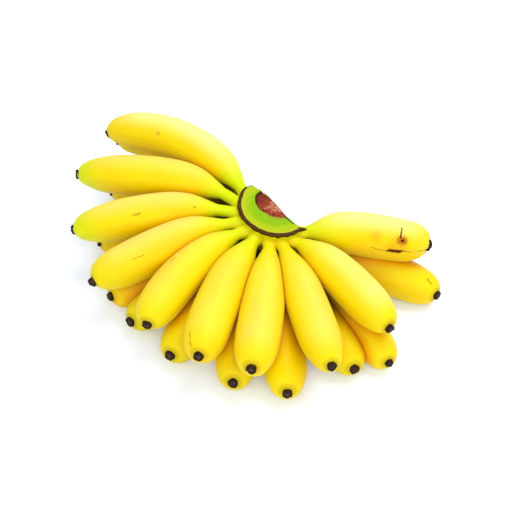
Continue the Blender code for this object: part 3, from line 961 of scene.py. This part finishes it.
def make_husk():
    husk = Finish("dried blossom end", Specular_IOR_Level=0.15)
    place = husk.place()
    centre = husk.mark("centre")
    crumple = husk.clouds(place, 900.0, 4.0, 0.6, 0.4)
    fibres = husk.clouds(place, 2600.0, 3.0)
    colour = husk.mix(husk.ramp(crumple, 0.35, 0.7), tint(20, 9, 3), tint(60, 36, 18))
    colour = husk.mix(centre * husk.ramp(crumple, 0.35, 0.65) * 0.6, colour, tint(112, 88, 66))
    return husk.finish(colour, 0.7 + (fibres - 0.5) * 0.3, crumple * 0.7 + fibres * 0.3, 0.0005)


def make_rind():
    rind = Finish("cut crown", Subsurface_Weight=0.08, Subsurface_Radius=(0.002, 0.002, 0.0006),
                  Subsurface_Scale=1.0, Specular_IOR_Level=0.1)
    place = rind.place()
    collar = rind.mark("collar")
    lip = rind.mark("lip")
    pith = rind.mark("pith")
    pith_edge = rind.mark("pith_edge")
    slit = rind.mark("slit")
    split = rind.mark("split")
    to_rim = rind.mark("to_rim")
    face = rind.mark("face")
    blotches = rind.clouds(place, 210.0, 3.0)
    grain = rind.clouds(place, 900.0, 4.0, 0.65, 0.5)
    fine = rind.clouds(place, 2600.0, 2.0)
    upright = rind.clouds(rind.stretched(place, (1500.0, 1500.0, 130.0)), 1.0, 4.0, 0.6)

    side = rind.mix(rind.ramp(blotches, 0.35, 0.68), tint(212, 212, 4), tint(190, 200, 2))
    flesh = rind.mix(rind.ramp(to_rim + (blotches - 0.5) * 5.0, 10.0, 3.0), tint(124, 170, 0),
                     tint(164, 180, 0))
    flesh = rind.mix(rind.ramp(grain, 0.45, 0.75) * 0.3, flesh, tint(176, 190, 8))
    halo = rind.ramp(rind.mark("round_pith") + (grain - 0.5) * 0.6, 0.25, 0.9)
    flesh = rind.mix(halo * 0.55, flesh, tint(150, 122, 50))
    colour = rind.mix(face, side, flesh)
    colour = rind.mix(rind.ramp(lip, 0.2, 0.8) * 0.7, colour, tint(176, 168, 70))
    brown = rind.mix(rind.ramp(grain, 0.35, 0.7), tint(58, 32, 2), tint(94, 60, 6))
    colour = rind.mix(rind.ramp(collar + (grain - 0.5) * 0.35, 0.3, 0.65), colour, brown)
    fibre = rind.mix(rind.ramp(upright, 0.38, 0.66), tint(150, 132, 44), tint(206, 200, 110))
    fibre = rind.mix(rind.ramp(blotches, 0.5, 0.75) * 0.5, fibre, tint(112, 70, 30))
    colour = rind.mix(rind.ramp(split, 0.2, 0.8), colour, fibre)
    mottled = rind.mix(rind.ramp(grain, 0.36, 0.62), tint(92, 26, 10), tint(166, 74, 46))
    pale = rind.ramp(rind.mark("pith_pale") + (blotches - 0.5) * 1.6, 0.3, 0.75)
    mottled = rind.mix(pale * rind.ramp(grain, 0.4, 0.6), mottled, tint(206, 140, 112))
    mottled = rind.mix(rind.mark("pith_dark") * 0.6, mottled, tint(96, 20, 14))
    colour = rind.mix(rind.ramp(pith, 0.3, 0.7), colour, mottled)
    colour = rind.mix(rind.ramp(pith_edge + (grain - 0.5) * 0.4, 0.35, 0.8), colour,
                      tint(66, 26, 8))
    colour = rind.mix(rind.ramp(slit, 0.3, 0.8) * 0.9, colour, tint(44, 62, 0))
    roughness = 0.5 + (grain - 0.5) * 0.2 + pith * 0.2
    return rind.finish(colour, roughness, grain * 0.6 + fine * 0.4, 0.0004)


def make_floor_paint():
    paint = Finish("studio sweep", Specular_IOR_Level=0.2, Emission_Color=(0.94, 0.97, 1.0, 1.0),
                   Emission_Strength=0.08)
    weave = paint.clouds(paint.place(), 3.0, 2.0)
    colour = paint.mix(weave, tint(232, 240, 255), tint(235, 242, 255))
    return paint.finish(colour, 0.8 + (weave - 0.5) * 0.05)


# Floor, light, camera
FLOOR_SIZE = 6.0
CAMERA_ELEVATION = 46.0
CAMERA_DISTANCE = 0.55
CAMERA_TARGET = (0.0, 0.0, 35.0)
SENSOR_WIDTH = 36.0
FOCAL_LENGTH = 825.0 / 512.0 * SENSOR_WIDTH
LIGHT_TARGET = (0.0, 0.0, 0.03)
ROOM_BRIGHTNESS = 0.83


def aim(thing, target):
    thing.rotation_mode = "QUATERNION"
    thing.rotation_quaternion = (Vector(target) - thing.location).to_track_quat("-Z", "Y")


def add_light(name, place, size, power):
    lamp = bpy.data.lights.new(name, "AREA")
    lamp.shape = "DISK"
    lamp.size = size
    lamp.energy = power
    holder = bpy.data.objects.new(name, lamp)
    bpy.context.scene.collection.objects.link(holder)
    holder.location = place
    aim(holder, LIGHT_TARGET)


def set_stage():
    bpy.ops.object.select_all(action="DESELECT")
    bpy.ops.mesh.primitive_grid_add(x_subdivisions=8, y_subdivisions=8, size=FLOOR_SIZE)
    floor = bpy.context.object
    floor.name = "studio_floor"
    floor.data.materials.append(make_floor_paint())

    world = bpy.data.worlds.new("white room")
    world.use_nodes = True
    backdrop = world.node_tree.nodes["Background"]
    backdrop.inputs["Color"].default_value = (1.0, 1.0, 1.0, 1.0)
    backdrop.inputs["Strength"].default_value = ROOM_BRIGHTNESS
    bpy.context.scene.world = world
    add_light("key", (0.36, 0.26, 1.0), 0.8, 6.8)
    add_light("front", (0.0, -0.8, 0.7), 1.0, 5.2)

    camera = bpy.data.cameras.new("camera")
    camera.lens = FOCAL_LENGTH
    camera.sensor_width = SENSOR_WIDTH
    camera.clip_start = 0.01
    camera.clip_end = 20.0
    holder = bpy.data.objects.new("camera", camera)
    bpy.context.scene.collection.objects.link(holder)
    lean = math.radians(CAMERA_ELEVATION)
    back = np.array((0.0, -math.cos(lean), math.sin(lean))) * CAMERA_DISTANCE
    holder.location = np.array(CAMERA_TARGET) * MM + SHIFT + back
    holder.rotation_euler = (math.pi / 2 - lean, 0.0, 0.0)
    bpy.context.scene.camera = holder
    bpy.context.scene.view_settings.view_transform = "Standard"


# The whole hand
def model_hand():
    husk = make_husk()
    fields = [body_field(finger, height) for finger, height in FINGERS]
    skins = []
    for index in range(len(FINGERS)):
        skins.append(model_finger(index, fields))
        model_stub(index, husk)
    skin = make_skin(Surface(skins))
    for ball in skins:
        ball.data.materials.append(skin)
    model_crown(make_rind())


model_hand()
set_stage()
